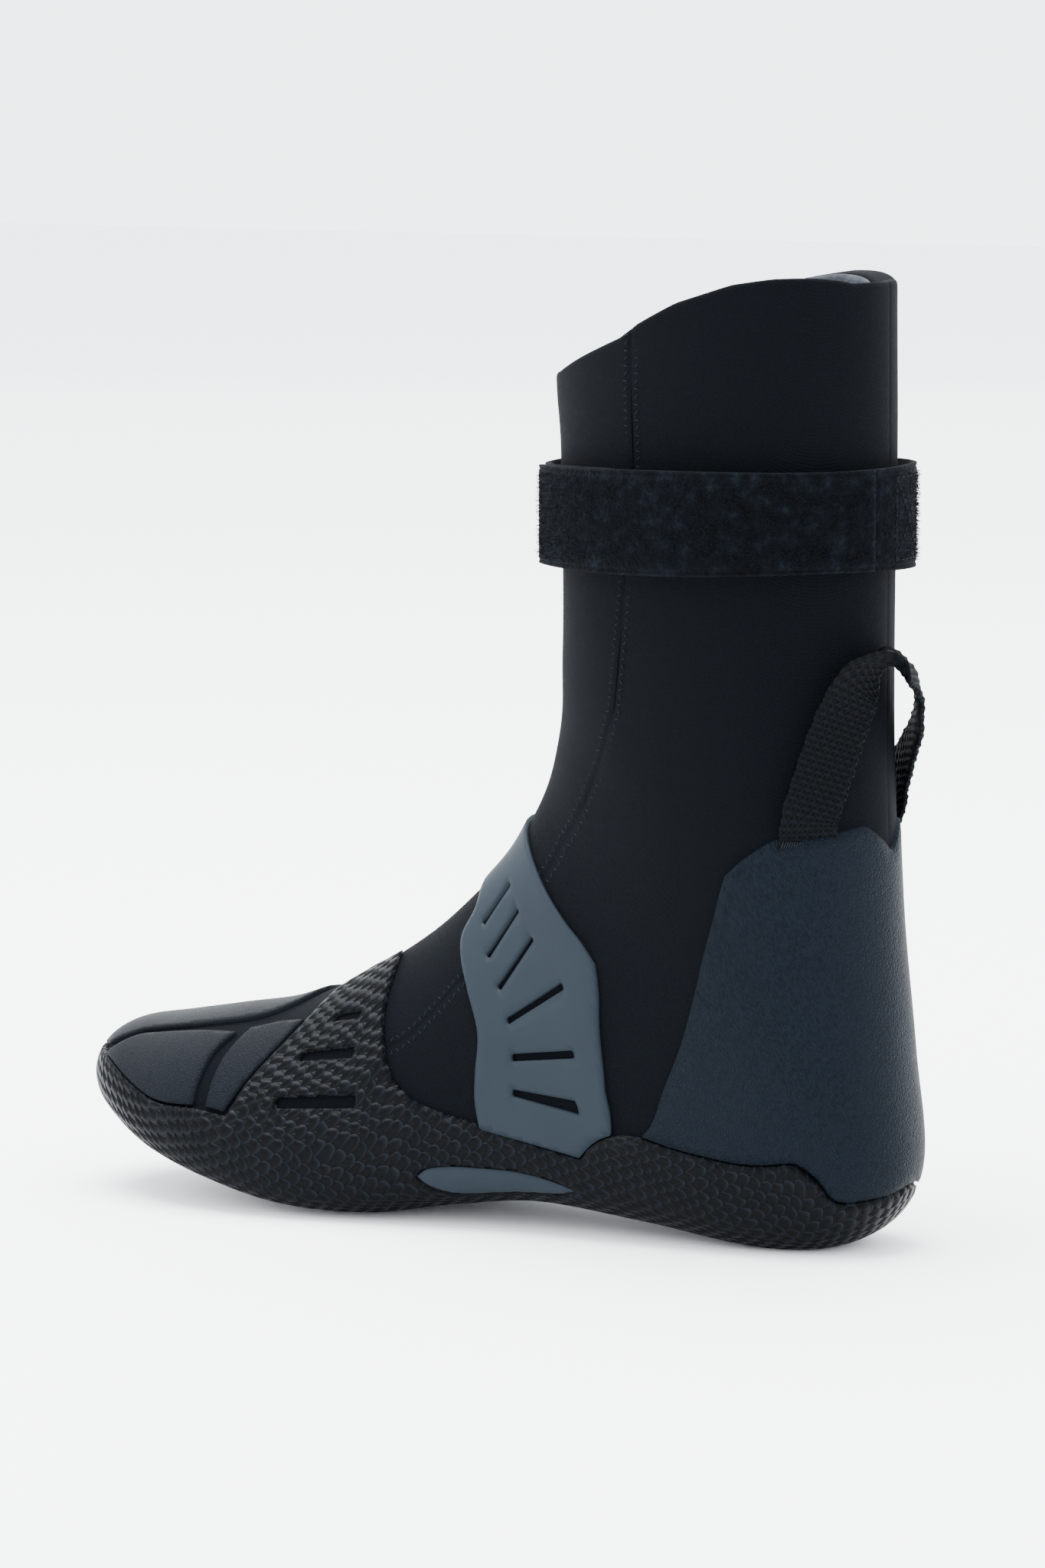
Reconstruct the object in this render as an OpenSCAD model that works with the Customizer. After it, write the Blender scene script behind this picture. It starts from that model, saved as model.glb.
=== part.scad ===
// Cold-water neoprene boot, right foot: toe towards -X, heel towards +X, medial side -Y, up +Z.
// The origin is at the middle of the bounding box, on the ground.

/* [Boot] */
// Length over the outsole, toe to heel
boot_length = 284; // [260:2:300]
// Thickness of the foam panels
foam = 7; // [5:0.5:7]
// Thickness of the printed and moulded overlays
overlay = 1.0; // [0.6:0.1:1.2]
// Extra thickness of the outsole under the foot
tread = 3.0; // [2:0.5:4]
// Thickness of the fleece lining
lining = 0.8; // [0.6:0.1:1.2]
// Thickness of the loose footbed
footbed = 2.5; // [2:0.5:4]
// Air left between layers that lie on one another
gap = 0.3; // [0.2:0.05:0.4]

/* [Ankle strap] */
// Width of the strap
strap_w = 31; // [25:1:38]
// Thickness of the strap with its pile
strap_t = 1.8; // [1.4:0.2:2.4]
// Height of the strap's middle above the ground
strap_z = 228; // [215:1:235]
// Half length of the strap's oval
strap_a = 57.5; // [57:0.5:60]
// Half width of the strap's oval
strap_b = 39.5; // [39:0.5:41]
// How far the closed end stands out over the strap below it
lap = 2.6; // [2.4:0.1:3.2]

/* [Pull loop] */
// Width of the webbing
web_w = 18; // [14:1:20]
// Thickness of the webbing
web_t = 1.6; // [1.2:0.1:1.8]
// Extra height of the loop
loop_rise = 0; // [-4:1:8]

/* [Hidden] */

k = boot_length / 284;
centre = [1.5, 3.5, 4.5];
jersey = [0.08, 0.09, 0.12];
slate = [0.22, 0.26, 0.30];
grey = [0.30, 0.35, 0.40];
black = [0.16, 0.17, 0.18];

// Sections of the boot from the toe, round the heel, to the collar. Each lies in a plane through
// its upper (or front) point and its lower (or back) point:
// upper x, upper z, lower x, lower z, medial half width, lateral half width,
// where the widest point is, upper roundness, lower roundness, arch lift, rise of the sole
SECTIONS = [
    [-142, 43, -142, 38,  3,  3, 0.50, 2.0, 2.0, 0, 0],
    [-139, 51, -138, 31, 16, 17, 0.52, 2.0, 2.2, 0, 0.5],
    [-130, 57, -126, 24, 29, 31, 0.55, 2.0, 2.5, 0, 1],
    [-115, 60, -109, 15, 38, 41, 0.58, 2.0, 2.7, 0, 2],
    [ -94, 64,  -86,  8, 44, 48, 0.61, 1.9, 3.0, 0, 2.5],
    [ -70, 69,  -60,  2, 45, 50, 0.64, 1.8, 3.2, 0, 3.5],
    [ -46, 80,  -34, -1, 42, 48, 0.66, 1.8, 3.2, 4, 5],
    [ -24, 94,   -8,  1, 38, 45, 0.67, 1.8, 3.0, 8, 7],
    [  -8, 108,  22,  4, 35, 41, 0.66, 1.9, 3.0, 8, 7],
    [   4, 121,  60,  2, 35, 39, 0.62, 1.9, 3.0, 3, 6],
    [  12, 134, 100, -1, 36, 38, 0.58, 2.0, 2.9, 0, 4.5],
    [  17, 145, 126,  4, 36, 37, 0.54, 2.0, 2.6, 0, 4.5],
    [  20, 157, 140, 26, 36, 37, 0.50, 2.0, 2.4, 0, 1],
    [  22, 170, 138, 62, 36, 37, 0.50, 2.0, 2.2, 0, 0],
    [  22, 186, 134, 105, 37, 37, 0.50, 2.0, 2.1, 0, 0],
    [  22, 206, 132, 150, 37, 37, 0.50, 2.0, 2.1, 0, 0],
    [  22, 228, 132, 194, 37, 37, 0.50, 2.0, 2.1, 0, 0],
    [  21, 248, 132, 232, 37, 37, 0.50, 2.0, 2.1, 0, 0],
    [  20, 262, 132, 268, 38, 38, 0.50, 2.0, 2.1, 0, 0],
    [  20, 274, 132, 300, 38, 38, 0.50, 2.0, 2.1, 0, 0],
    [  20, 284, 132, 313, 38, 38, 0.50, 2.0, 2.1, 0, 0]
];
LAST = len(SECTIONS) - 1;
TOP = 19;

// Room left for the flats of the curved layers, and the depths at which each layer starts
slack = 0.4;
foam_out = overlay + gap + slack;
foam_in = foam_out + foam;
tape_out = foam_in + 2 * gap;
tape_in = tape_out + 0.5;
lining_out = tape_in + gap;
lining_in = lining_out + lining;
bed_out = lining_in + 2 * gap;
bed_in = bed_out + footbed;

// Smooth curve through the sections
function section(t) =
    let(i = min(floor(t), LAST - 1), f = t - i,
        a = SECTIONS[max(i - 1, 0)], b = SECTIONS[i],
        c = SECTIONS[i + 1], d = SECTIONS[min(i + 2, LAST)])
    0.5 * (2 * b + (c - a) * f + (2 * a - 5 * b + 4 * c - d) * f * f
        + (3 * b - a - 3 * c + d) * f * f * f);

// Height of the collar's edge, as a section number, at an angle from the front
COLLAR = [[0, 18.5], [30, 18.6], [48, 18.8], [68, 19.0], [76, 19.2], [90, 19.45],
    [108, 19.55], [122, 19.45], [156, 19.05], [180, 19.0]];
function top_at(th) = lookup(abs(th > 180 ? 360 - th : th), COLLAR);
// Above the heel the grid is stretched so that its last row is the collar's edge
function lifted(t, th) = t <= 12 ? t : 12 + (t - 12) * (top_at(th) - 12) / (TOP - 12);

// A point of the boot: section t, angle th (0 front, 90 medial, 180 back or sole, 270 lateral),
// depth d below the outer surface, and the extra depth s below the tread
function skin(t, th, d, s = 0) =
    let(r = section(t), toe = max(0, 1 - t / 5), side = sqrt(1 - toe * toe),
        up = [r[0], r[1]], low = [r[2], r[3]], u = (low - up) / norm(low - up),
        under = t < 11.3 ? 1 : max(0, 1 - (t - 11.3) / 1.7),
        a = up + u * d * side + [d * toe, 0],
        b = low - u * (d + s * under) * side + [d * toe, 0],
        c = cos(th), m = sin(th) > 0,
        w = (m ? r[4] : r[5]) - d * side,
        n = c > 0 ? r[7] : r[8],
        ca = pow(abs(c), 2 / n), sa = pow(abs(sin(th)), 2 / n),
        lift = m && c < 0 ? r[9] * ca * pow(sa, 1.5) / norm(b - a) : 0,
        f = (c > 0 ? r[6] * (1 - ca) : r[6] + (1 - r[6]) * ca) - lift)
    k * [a[0] + (b[0] - a[0]) * f, (m ? -1 : 1) * w * sa,
        a[1] + (b[1] - a[1]) * f + r[10] * pow(max(0, f - 0.8) / 0.2, 2)];

// Points between two [section, angle] lines of equal length, n steps across
function weave(from, to, n) =
    [for (i = [0:len(from) - 1]) [for (j = [0:n]) from[i] + (to[i] - from[i]) * j / n]];
// A line split into m steps between its points
function fine(line, m) =
    concat([for (i = [0:len(line) - 2]) for (j = [0:m - 1]) line[i] + (line[i + 1] - line[i]) * j / m],
        [line[len(line) - 1]]);
function mirrored(line) = [for (p = line) [p[0], 360 - p[1]]];

// Faces of a sheet of two rectangular grids of points, outer then inner
function quad(a, b, c, d) = [[a, b, c], [a, c, d]];
function sheet_faces(r, c) =
    let(o = r * c, last = (r - 1) * c)
    [for (i = [0:r - 2]) for (j = [0:c - 2])
        let(p = i * c + j) each concat(
            quad(p, p + 1, p + c + 1, p + c),
            quad(o + p, o + p + c, o + p + c + 1, o + p + 1)),
     for (j = [0:c - 2]) each concat(
            quad(j + 1, j, o + j, o + j + 1),
            quad(last + j, last + j + 1, o + last + j + 1, o + last + j)),
     for (i = [0:r - 2]) let(p = i * c, q = p + c - 1) each concat(
            quad(p, p + c, o + p + c, o + p),
            quad(q + c, q, o + q, o + q + c))];
function turned(faces) = [for (f = faces) [f[0], f[2], f[1]]];

// A closed sheet over a grid of [section, angle], from depth d1 in to depth d2
module sheet(grid, d1, d2, s1 = 0, s2 = 0, flip = false) {
    rows = len(grid);
    cols = len(grid[0]);
    points = concat(
        [for (g = grid) for (p = g) skin(lifted(p[0], p[1]), p[1], d1, s1)],
        [for (g = grid) for (p = g) skin(lifted(p[0], p[1]), p[1], d2, s2)]);
    faces = sheet_faces(rows, cols);
    translate(-centre) polyhedron(points, flip ? turned(faces) : faces, convexity = 6);
}

STEPS = [for (t = [0:0.5:TOP]) t];

// Seams between the foam panels
SEAM = [[0, 80], [4, 76], [5.5, 62], [7, 56], [8, 48], [9.5, 40], [11, 42], [12.7, 50],
    [14.3, 64], [15.6, 69], [17, 74], [TOP, 74]];
LOW_SEAM = [[0, 112], [10.5, 116], [11.2, 132], [11.6, 160], [11.8, 179.6], [TOP, 179.6]];
function seam(t) = lookup(t, SEAM);
function low_seam(t) = lookup(t, LOW_SEAM);
half_seam = 0.35;

module front_panel() {
    color(jersey) sheet(weave([for (t = STEPS) [t, -seam(t) + half_seam]],
        [for (t = STEPS) [t, seam(t) - half_seam]], 14), foam_out, foam_in, tread, tread);
}
module side_panel(side) {
    steps = concat([for (t = [0:0.5:11]) t], [11.2, 11.4, 11.6, 11.8], [for (t = [12:0.5:TOP]) t]);
    high = [for (t = steps) [t, seam(t) + half_seam]];
    low = [for (t = steps) [t, low_seam(t) - half_seam]];
    color(jersey) sheet(side > 0 ? weave(high, low, 9) : weave(mirrored(low), mirrored(high), 9),
        foam_out, foam_in, tread, tread);
}
module medial_panel() {
    side_panel(1);
}
module lateral_panel() {
    side_panel(-1);
}
module sole_panel() {
    steps = concat([for (t = [0:0.5:10.5]) t], [11, 11.2, 11.4, 11.6]);
    low = [for (t = steps) [t, low_seam(t) + half_seam]];
    color(jersey) sheet(weave(low, mirrored(low), 10), foam_out, foam_in, tread, tread);
}

// Lining: a closed sock, open at the collar
module lining_sock() {
    turns = 24;
    rings = [for (t = STEPS) [for (j = [0:turns - 1]) [t, j * 360 / turns]]];
    rows = len(rings);
    o = rows * turns;
    function at(i, j) = i * turns + j % turns;
    points = concat(
        [for (g = rings) for (p = g) skin(lifted(p[0], p[1]), p[1], lining_out, tread)],
        [for (g = rings) for (p = g) skin(lifted(p[0], p[1]), p[1], lining_in, tread)],
        [skin(0, 0, lining_out) / 2 + skin(0, 180, lining_out) / 2,
         skin(0, 0, lining_in) / 2 + skin(0, 180, lining_in) / 2]);
    faces = [for (i = [0:rows - 2]) for (j = [0:turns - 1]) each concat(
            quad(at(i, j), at(i, j + 1), at(i + 1, j + 1), at(i + 1, j)),
            quad(o + at(i, j), o + at(i + 1, j), o + at(i + 1, j + 1), o + at(i, j + 1))),
        for (j = [0:turns - 1]) each concat(
            quad(at(rows - 1, j), at(rows - 1, j + 1), o + at(rows - 1, j + 1), o + at(rows - 1, j)),
            [[at(0, j + 1), at(0, j), 2 * o], [o + at(0, j), o + at(0, j + 1), 2 * o + 1]])];
    color(grey) translate(-centre) polyhedron(points, faces, convexity = 8);
}
module footbed() {
    steps = [for (t = [1.2:0.5:10.7]) t];
    color(black) sheet(weave([for (t = steps) [t, 132]], [for (t = steps) [t, 228]], 8),
        bed_out, bed_in, tread, tread);
}

// Tapes inside the seams, under the lining
module seam_tape(line, half) {
    color(grey) sheet(weave([for (p = line) [p[0], p[1] - half]],
        [for (p = line) [p[0], p[1] + half]], 2), tape_out, tape_in, tread, tread);
}
module seam_tape_medial() {
    seam_tape([for (t = [4:0.5:TOP]) [t, seam(t)]], 8);
}
module seam_tape_lateral() {
    seam_tape([for (t = [4:0.5:TOP]) [t, 360 - seam(t)]], 8);
}
module seam_tape_back() {
    seam_tape([for (t = [12:0.5:TOP]) [t, 180]], 9);
}

// Raised zigzag of thread along the visible seams, from the collar to the instep band
module seam_stitching(side) {
    line = [for (t = [11:0.5:TOP]) [t, side > 0 ? seam(t) : 360 - seam(t)]];
    color(black) sheet(weave([for (p = line) [p[0], p[1] - 2.2]], [for (p = line) [p[0], p[1] + 2.2]], 1),
        foam_out - gap - 0.3, foam_out - gap, tread, tread);
}
module seam_stitching_medial() {
    seam_stitching(1);
}
module seam_stitching_lateral() {
    seam_stitching(-1);
}

// Upper edge of the outsole: toe cap, wing over the instep, waist and heel notch
SOLE_EDGE = [[0, 52], [1.8, 58], [2.8, 72], [3.4, 78], [4.6, 76], [4.9, 58], [5.2, 42], [5.5, 26],
    [5.9, 13], [6.6, 12], [6.7, 52], [6.9, 70], [7.25, 80], [7.9, 90], [8.45, 98], [8.9, 104],
    [9.35, 97], [9.7, 98], [10.5, 110], [11.25, 123], [11.42, 146], [11.65, 160], [11.9, 178]];
function sole_edge(t) = lookup(t, SOLE_EDGE);
SOLE_STEPS = [0, 0.4, 0.8, 1.2, 1.8, 2.3, 2.8, 3.4, 4, 4.6, 4.75, 4.9, 5.05, 5.2, 5.35, 5.5, 5.7, 5.9,
    6.25, 6.6, 6.65, 6.7, 6.9, 7.25, 7.6, 7.9, 8.45, 8.9, 9.1, 9.35, 9.7, 10.1, 10.5, 10.9, 11.25,
    11.33, 11.42, 11.65, 11.9];

module outsole() {
    edge = [for (t = SOLE_STEPS) [t, sole_edge(t)]];
    color(black) difference() {
        sheet(weave(edge, mirrored(edge), 24), 0, overlay - gap / 2, 0, tread);
        translate([-200, -100, -20]) cube([400, 200, 20]);
    }
}
module arch_insert() {
    upper = fine([[7.0, 108], [7.3, 104], [7.9, 109], [8.3, 114], [8.6, 122]], 2);
    lower = fine([[7.05, 110], [7.3, 126], [7.8, 136], [8.3, 132], [8.63, 124]], 2);
    color(grey) sheet(weave(upper, lower, 3), -0.9, -gap);
}

// Moulded overlays on the toe, heel and instep, clear of the outsole's edge
patch = overlay - slack;
module toe_patch_medial_front() {
    upper = [[1.7, 52], [2.2, 46], [2.7, 35], [3.2, 32], [3.7, 31], [4.15, 32], [4.28, 32], [4.38, 33],
        [4.5, 34]];
    lower = [[1.7, 53.5], [2.2, 60.5], [2.7, 67.5], [3.2, 72.5], [3.7, 73.5], [4.1, 73], [4.2, 60], [4.3, 48],
        [4.45, 38]];
    color(slate) sheet(weave(upper, lower, 6), 0, patch);
}
module toe_patch_medial_rear() {
    front = [[4.62, 34], [4.5, 45], [4.38, 58], [4.3, 73]];
    rear = [[5.3, 32], [5.1, 43], [4.83, 57], [4.55, 73]];
    color(slate) sheet(weave(fine(front, 2), fine(rear, 2), 5), 0, patch, flip = true);
}
module toe_patch_lateral() {
    steps = [1.7, 2.2, 2.7, 3.2, 3.7, 4.2, 4.6, 4.9, 5.1];
    near = [[1.7, 45], [2.2, 36], [2.7, 27], [3.2, 25], [3.7, 24], [4.6, 19], [5.1, 6]];
    far = [[1.7, 52], [2.2, 61], [2.7, 69], [3.2, 74], [4.5, 74], [4.85, 56], [5.1, 44]];
    color(slate) sheet(weave([for (t = steps) [t, -lookup(t, far)]], [for (t = steps) [t, lookup(t, near)]],
        14), 0, patch);
}

COUNTER_LOW = [[9.85, 98], [10.5, 108.5], [11.2, 120.5], [11.5, 143], [11.78, 159], [12.02, 180]];
COUNTER_HIGH = [[9.85, 95], [10.6, 91], [12.3, 92], [13.5, 103], [14.35, 138], [14.55, 180]];
module heel_counter() {
    low = fine(COUNTER_LOW, 3);
    high = fine(COUNTER_HIGH, 3);
    n = len(low) - 1;
    whole_low = concat(low, [for (i = [n - 1:-1:0]) [low[i][0], 360 - low[i][1]]]);
    whole_high = concat(high, [for (i = [n - 1:-1:0]) [high[i][0], 360 - high[i][1]]]);
    color(slate) sheet(weave(whole_low, whole_high, 10), 0, overlay);
}

BAND_FRONT = [[8.35, 0], [8.3, 22], [8.0, 38], [8.1, 60], [8.1, 72], [7.95, 88], [8.4, 95.5], [8.8, 101]];
BAND_REAR = [[9.8, 0], [9.8, 22], [10.0, 42], [10.3, 60], [10.4, 68], [9.75, 84], [9.45, 94], [9.05, 100]];
module instep_band() {
    front = fine(BAND_FRONT, 2);
    rear = fine(BAND_REAR, 2);
    n = len(front) - 1;
    whole_front = concat([for (i = [n:-1:1]) [front[i][0], -front[i][1]]], front);
    whole_rear = concat([for (i = [n:-1:1]) [rear[i][0], -rear[i][1]]], rear);
    color(grey) sheet(weave(whole_front, whole_rear, 5), 0, patch, flip = true);
}

// Ankle strap: an oval band, laid in plan by angle (0 back, 90 lateral, 180 front, 270 medial)
strap_x = 77.5;
root = -22;
bend = -100;
tip_end = -152;
function strap_point(a, out) = [strap_x + (strap_a + out) * cos(a), (strap_b + out) * sin(a)];
// The closed end climbs from the strap's own line at its root to lie on top of the strap
function climb(a) = lap * min(1, max(0, (root - a) / 60));
module strap_band(angles, inner, outer) {
    translate(-centre) translate([0, 0, strap_z - strap_w / 2]) linear_extrude(strap_w)
        polygon(concat([for (a = angles) strap_point(a, inner(a))],
            [for (i = [len(angles) - 1:-1:0]) strap_point(angles[i], outer(angles[i]))]));
}
module strap_base() {
    color(jersey) strap_band([for (a = [root + 0.6:4:250]) a],
        function(a) 0, function(a) strap_t);
}
module strap_anchor_stitching() {
    color(black) strap_band([for (a = [-12:4:12]) a],
        function(a) strap_t + 0.05, function(a) strap_t + 0.45);
}
module strap_free_end() {
    color(jersey) strap_band([for (a = [root:-3:bend + 0.7]) a],
        function(a) climb(a), function(a) climb(a) + strap_t);
}
module strap_tip() {
    color(jersey) strap_band([for (a = [bend:-4:tip_end]) a],
        function(a) climb(a), function(a) climb(a) + strap_t);
}
module hook_patch() {
    color(black) translate([0, 0, 2]) strap_band([for (a = [bend - 20:-4:tip_end + 3]) a],
        function(a) lap - 0.55, function(a) lap - 0.05);
}

// Pull loop: webbing that runs up one back corner, over behind the heel, and down the other
hinge_x = 128;
hinge_z = 139;
// Middle line of the loop from its inner to its outer end: x, y, z, and the angle in plan that
// the webbing's width points to
LOOP = [[117.3, -27.6, 139.6, 39], [119.4, -26.6, 147.5, 39], [121.8, -25.4, 156, 39],
    [124.5, -24, 165, 42], [127.3, -22.6, 173, 48], [130.8, -20.2, 180.5, 60],
    [136.8, -12, 186, 92], [140.2, -2, 179.5, 112], [138.2, 5.8, 170, 118],
    [134, 12.5, 162, 121], [129.3, 17.5, 154.5, 128], [124.8, 21.4, 147, 134],
    [122.5, 22.8, 139.6, 138]];
function bent(i, f) =
    let(a = LOOP[max(i - 1, 0)], b = LOOP[i], c = LOOP[i + 1], d = LOOP[min(i + 2, len(LOOP) - 1)])
    0.5 * (2 * b + (c - a) * f + (2 * a - 5 * b + 4 * c - d) * f * f
        + (3 * b - a - 3 * c + d) * f * f * f);
LOOP_LINE = concat([for (i = [0:len(LOOP) - 2]) for (f = [0, 0.5]) bent(i, f)], [LOOP[len(LOOP) - 1]]);
module webbing(middles, acrosses, t) {
    n = len(middles);
    function along(i) = middles[min(i + 1, n - 1)] - middles[max(i - 1, 0)];
    function side(i) = acrosses[i] - along(i) * (acrosses[i] * along(i)) / (along(i) * along(i));
    function outward(i) = cross(along(i), side(i)) / norm(cross(along(i), side(i)));
    points = [for (s = [1, -1]) for (i = [0:n - 1]) for (e = [-1, 1])
        middles[i] + e * side(i) / norm(side(i)) * web_w / 2 + s * outward(i) * t / 2];
    polyhedron(points, sheet_faces(n, 2), convexity = 4);
}
module pull_loop() {
    color(black) translate(-centre) webbing(
        [for (p = LOOP_LINE) [p[0], p[1], p[2] + loop_rise * max(0, p[2] - hinge_z) / 46]],
        [for (p = LOOP_LINE) [cos(p[3]), sin(p[3]), 0]], web_t);
}
// Sewn ends of the webbing, tucked down to the heel counter's top edge
module loop_anchor(side) {
    low = side > 0 ? [[14.1, 121], [14.31, 133], [14.45, 145]] : [[14.26, 230], [14.44, 217], [14.54, 204]];
    high = side > 0 ? [[14.19, 121], [14.36, 133], [14.49, 145]] : [[14.33, 230], [14.49, 217], [14.59, 204]];
    grid = weave(low, high, 2);
    color(black) sheet(grid, foam_out - gap - web_t, foam_out - gap, flip = side < 0);
}
module loop_anchor_medial() {
    loop_anchor(1);
}
module loop_anchor_lateral() {
    loop_anchor(-1);
}
module bar_tack(side) {
    low = side > 0 ? [[14.15, 123], [14.33, 133], [14.45, 143]] : [[14.29, 228], [14.455, 217], [14.55, 206]];
    high = side > 0 ? [[14.165, 123], [14.345, 133], [14.465, 143]]
        : [[14.305, 228], [14.47, 217], [14.565, 206]];
    grid = weave(low, high, 1);
    out = foam_out - gap - web_t;
    color(grey) sheet(grid, out - 0.5, out - 0.1, flip = side < 0);
}
module bar_tack_medial() {
    bar_tack(1);
}
module bar_tack_lateral() {
    bar_tack(-1);
}

outsole();
arch_insert();
sole_panel();
front_panel();
medial_panel();
lateral_panel();
lining_sock();
footbed();
seam_tape_medial();
seam_tape_lateral();
seam_tape_back();
seam_stitching_medial();
seam_stitching_lateral();
toe_patch_medial_front();
toe_patch_medial_rear();
toe_patch_lateral();
heel_counter();
instep_band();
strap_base();
strap_anchor_stitching();
strap_free_end();
strap_tip();
hook_patch();
loop_anchor_medial();
loop_anchor_lateral();
bar_tack_medial();
bar_tack_lateral();
pull_loop();
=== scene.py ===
import math

import bpy
import numpy as np
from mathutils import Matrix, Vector
from mathutils.geometry import delaunay_2d_cdt


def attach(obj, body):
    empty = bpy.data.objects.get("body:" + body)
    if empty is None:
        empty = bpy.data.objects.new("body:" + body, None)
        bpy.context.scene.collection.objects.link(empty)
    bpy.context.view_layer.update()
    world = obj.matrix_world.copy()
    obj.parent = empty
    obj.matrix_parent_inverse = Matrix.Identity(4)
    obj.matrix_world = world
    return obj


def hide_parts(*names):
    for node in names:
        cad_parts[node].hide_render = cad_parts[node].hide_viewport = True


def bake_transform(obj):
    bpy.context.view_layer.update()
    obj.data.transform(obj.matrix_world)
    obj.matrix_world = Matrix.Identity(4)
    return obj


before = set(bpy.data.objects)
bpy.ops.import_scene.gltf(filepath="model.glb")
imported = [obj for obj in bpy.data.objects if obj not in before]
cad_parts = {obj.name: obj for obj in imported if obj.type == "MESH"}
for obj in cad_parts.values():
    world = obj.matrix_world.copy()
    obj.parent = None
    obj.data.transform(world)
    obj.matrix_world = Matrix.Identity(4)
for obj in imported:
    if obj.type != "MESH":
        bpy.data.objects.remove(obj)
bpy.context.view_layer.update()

MM = 0.001
rng = np.random.default_rng(7)

# ---------------------------------------------------------------- the boot's surface
# The same sections and rule as part.scad: upper x and z, lower x and z, medial and lateral half
# widths, place of the widest point, upper and lower roundness, arch lift, rise of the sole.
SECTIONS = np.array([
    [-142, 43, -142, 38, 3, 3, 0.50, 2.0, 2.0, 0, 0],
    [-139, 51, -138, 31, 16, 17, 0.52, 2.0, 2.2, 0, 0.5],
    [-130, 57, -126, 24, 29, 31, 0.55, 2.0, 2.5, 0, 1],
    [-115, 60, -109, 15, 38, 41, 0.58, 2.0, 2.7, 0, 2],
    [-94, 64, -86, 8, 44, 48, 0.61, 1.9, 3.0, 0, 2.5],
    [-70, 69, -60, 2, 45, 50, 0.64, 1.8, 3.2, 0, 3.5],
    [-46, 80, -34, -1, 42, 48, 0.66, 1.8, 3.2, 4, 5],
    [-24, 94, -8, 1, 38, 45, 0.67, 1.8, 3.0, 8, 7],
    [-8, 108, 22, 4, 35, 41, 0.66, 1.9, 3.0, 8, 7],
    [4, 121, 60, 2, 35, 39, 0.62, 1.9, 3.0, 3, 6],
    [12, 134, 100, -1, 36, 38, 0.58, 2.0, 2.9, 0, 4.5],
    [17, 145, 126, 4, 36, 37, 0.54, 2.0, 2.6, 0, 4.5],
    [20, 157, 140, 26, 36, 37, 0.50, 2.0, 2.4, 0, 1],
    [22, 170, 138, 62, 36, 37, 0.50, 2.0, 2.2, 0, 0],
    [22, 186, 134, 105, 37, 37, 0.50, 2.0, 2.1, 0, 0],
    [22, 206, 132, 150, 37, 37, 0.50, 2.0, 2.1, 0, 0],
    [22, 228, 132, 194, 37, 37, 0.50, 2.0, 2.1, 0, 0],
    [21, 248, 132, 232, 37, 37, 0.50, 2.0, 2.1, 0, 0],
    [20, 262, 132, 268, 38, 38, 0.50, 2.0, 2.1, 0, 0],
    [20, 274, 132, 300, 38, 38, 0.50, 2.0, 2.1, 0, 0],
    [20, 284, 132, 313, 38, 38, 0.50, 2.0, 2.1, 0, 0]], float)
LAST = len(SECTIONS) - 1
TOP = 19
CENTRE = np.array([1.5, 3.5, 4.5])
COLLAR = np.array([[0, 18.5], [30, 18.6], [48, 18.8], [68, 19.0], [76, 19.2], [90, 19.45],
                   [108, 19.55], [122, 19.45], [156, 19.05], [180, 19.0]])
# Thickness of the layers in mm, from the outside in, and the air between them
OVERLAY, TREAD, GAP, FOAM, TAPE_THICK, FLEECE_THICK, BED_THICK = 1.0, 3.0, 0.3, 7.0, 0.5, 0.8, 2.5
SLACK = 0.4
FOAM_OUT = OVERLAY + GAP + SLACK
LINING_IN = FOAM_OUT + FOAM + TAPE_THICK + 3 * GAP + FLEECE_THICK
# Where the toe's rounding ends, where the sole's tread ends and fades, where the sole's rise starts
TOE_ROUND, SOLE_END, SOLE_FADE, RISE_FROM, RISE_SPAN = 5, 11.3, 1.7, 0.8, 0.2
SHAFT_START = 12
ON_GROUND = 0.2  # the skin is kept above the ground down to this depth


def spline(before, start, end, after, f):
    """A smooth curve through four points in a row, at the share f of the way from start to end."""
    return 0.5 * (2 * start + (end - before) * f
                  + (2 * before - 5 * start + 4 * end - after) * f * f
                  + (3 * start - before - 3 * end + after) * f ** 3)


def section(t):
    """The row of SECTIONS at t, curved between whole rows."""
    i = np.clip(np.floor(t).astype(int), 0, LAST - 1)
    return spline(SECTIONS[np.maximum(i - 1, 0)], SECTIONS[i], SECTIONS[i + 1],
                  SECTIONS[np.minimum(i + 2, LAST)], (t - i)[..., None])


def lifted(t, th):
    """Stretches the shaft's sections, so that section TOP follows the collar's line."""
    folded = np.abs(((th + 180) % 360) - 180)
    top = np.interp(folded, COLLAR[:, 0], COLLAR[:, 1])
    stretched = SHAFT_START + (t - SHAFT_START) * (top - SHAFT_START) / (TOP - SHAFT_START)
    return np.where(t <= SHAFT_START, t, stretched)


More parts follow.
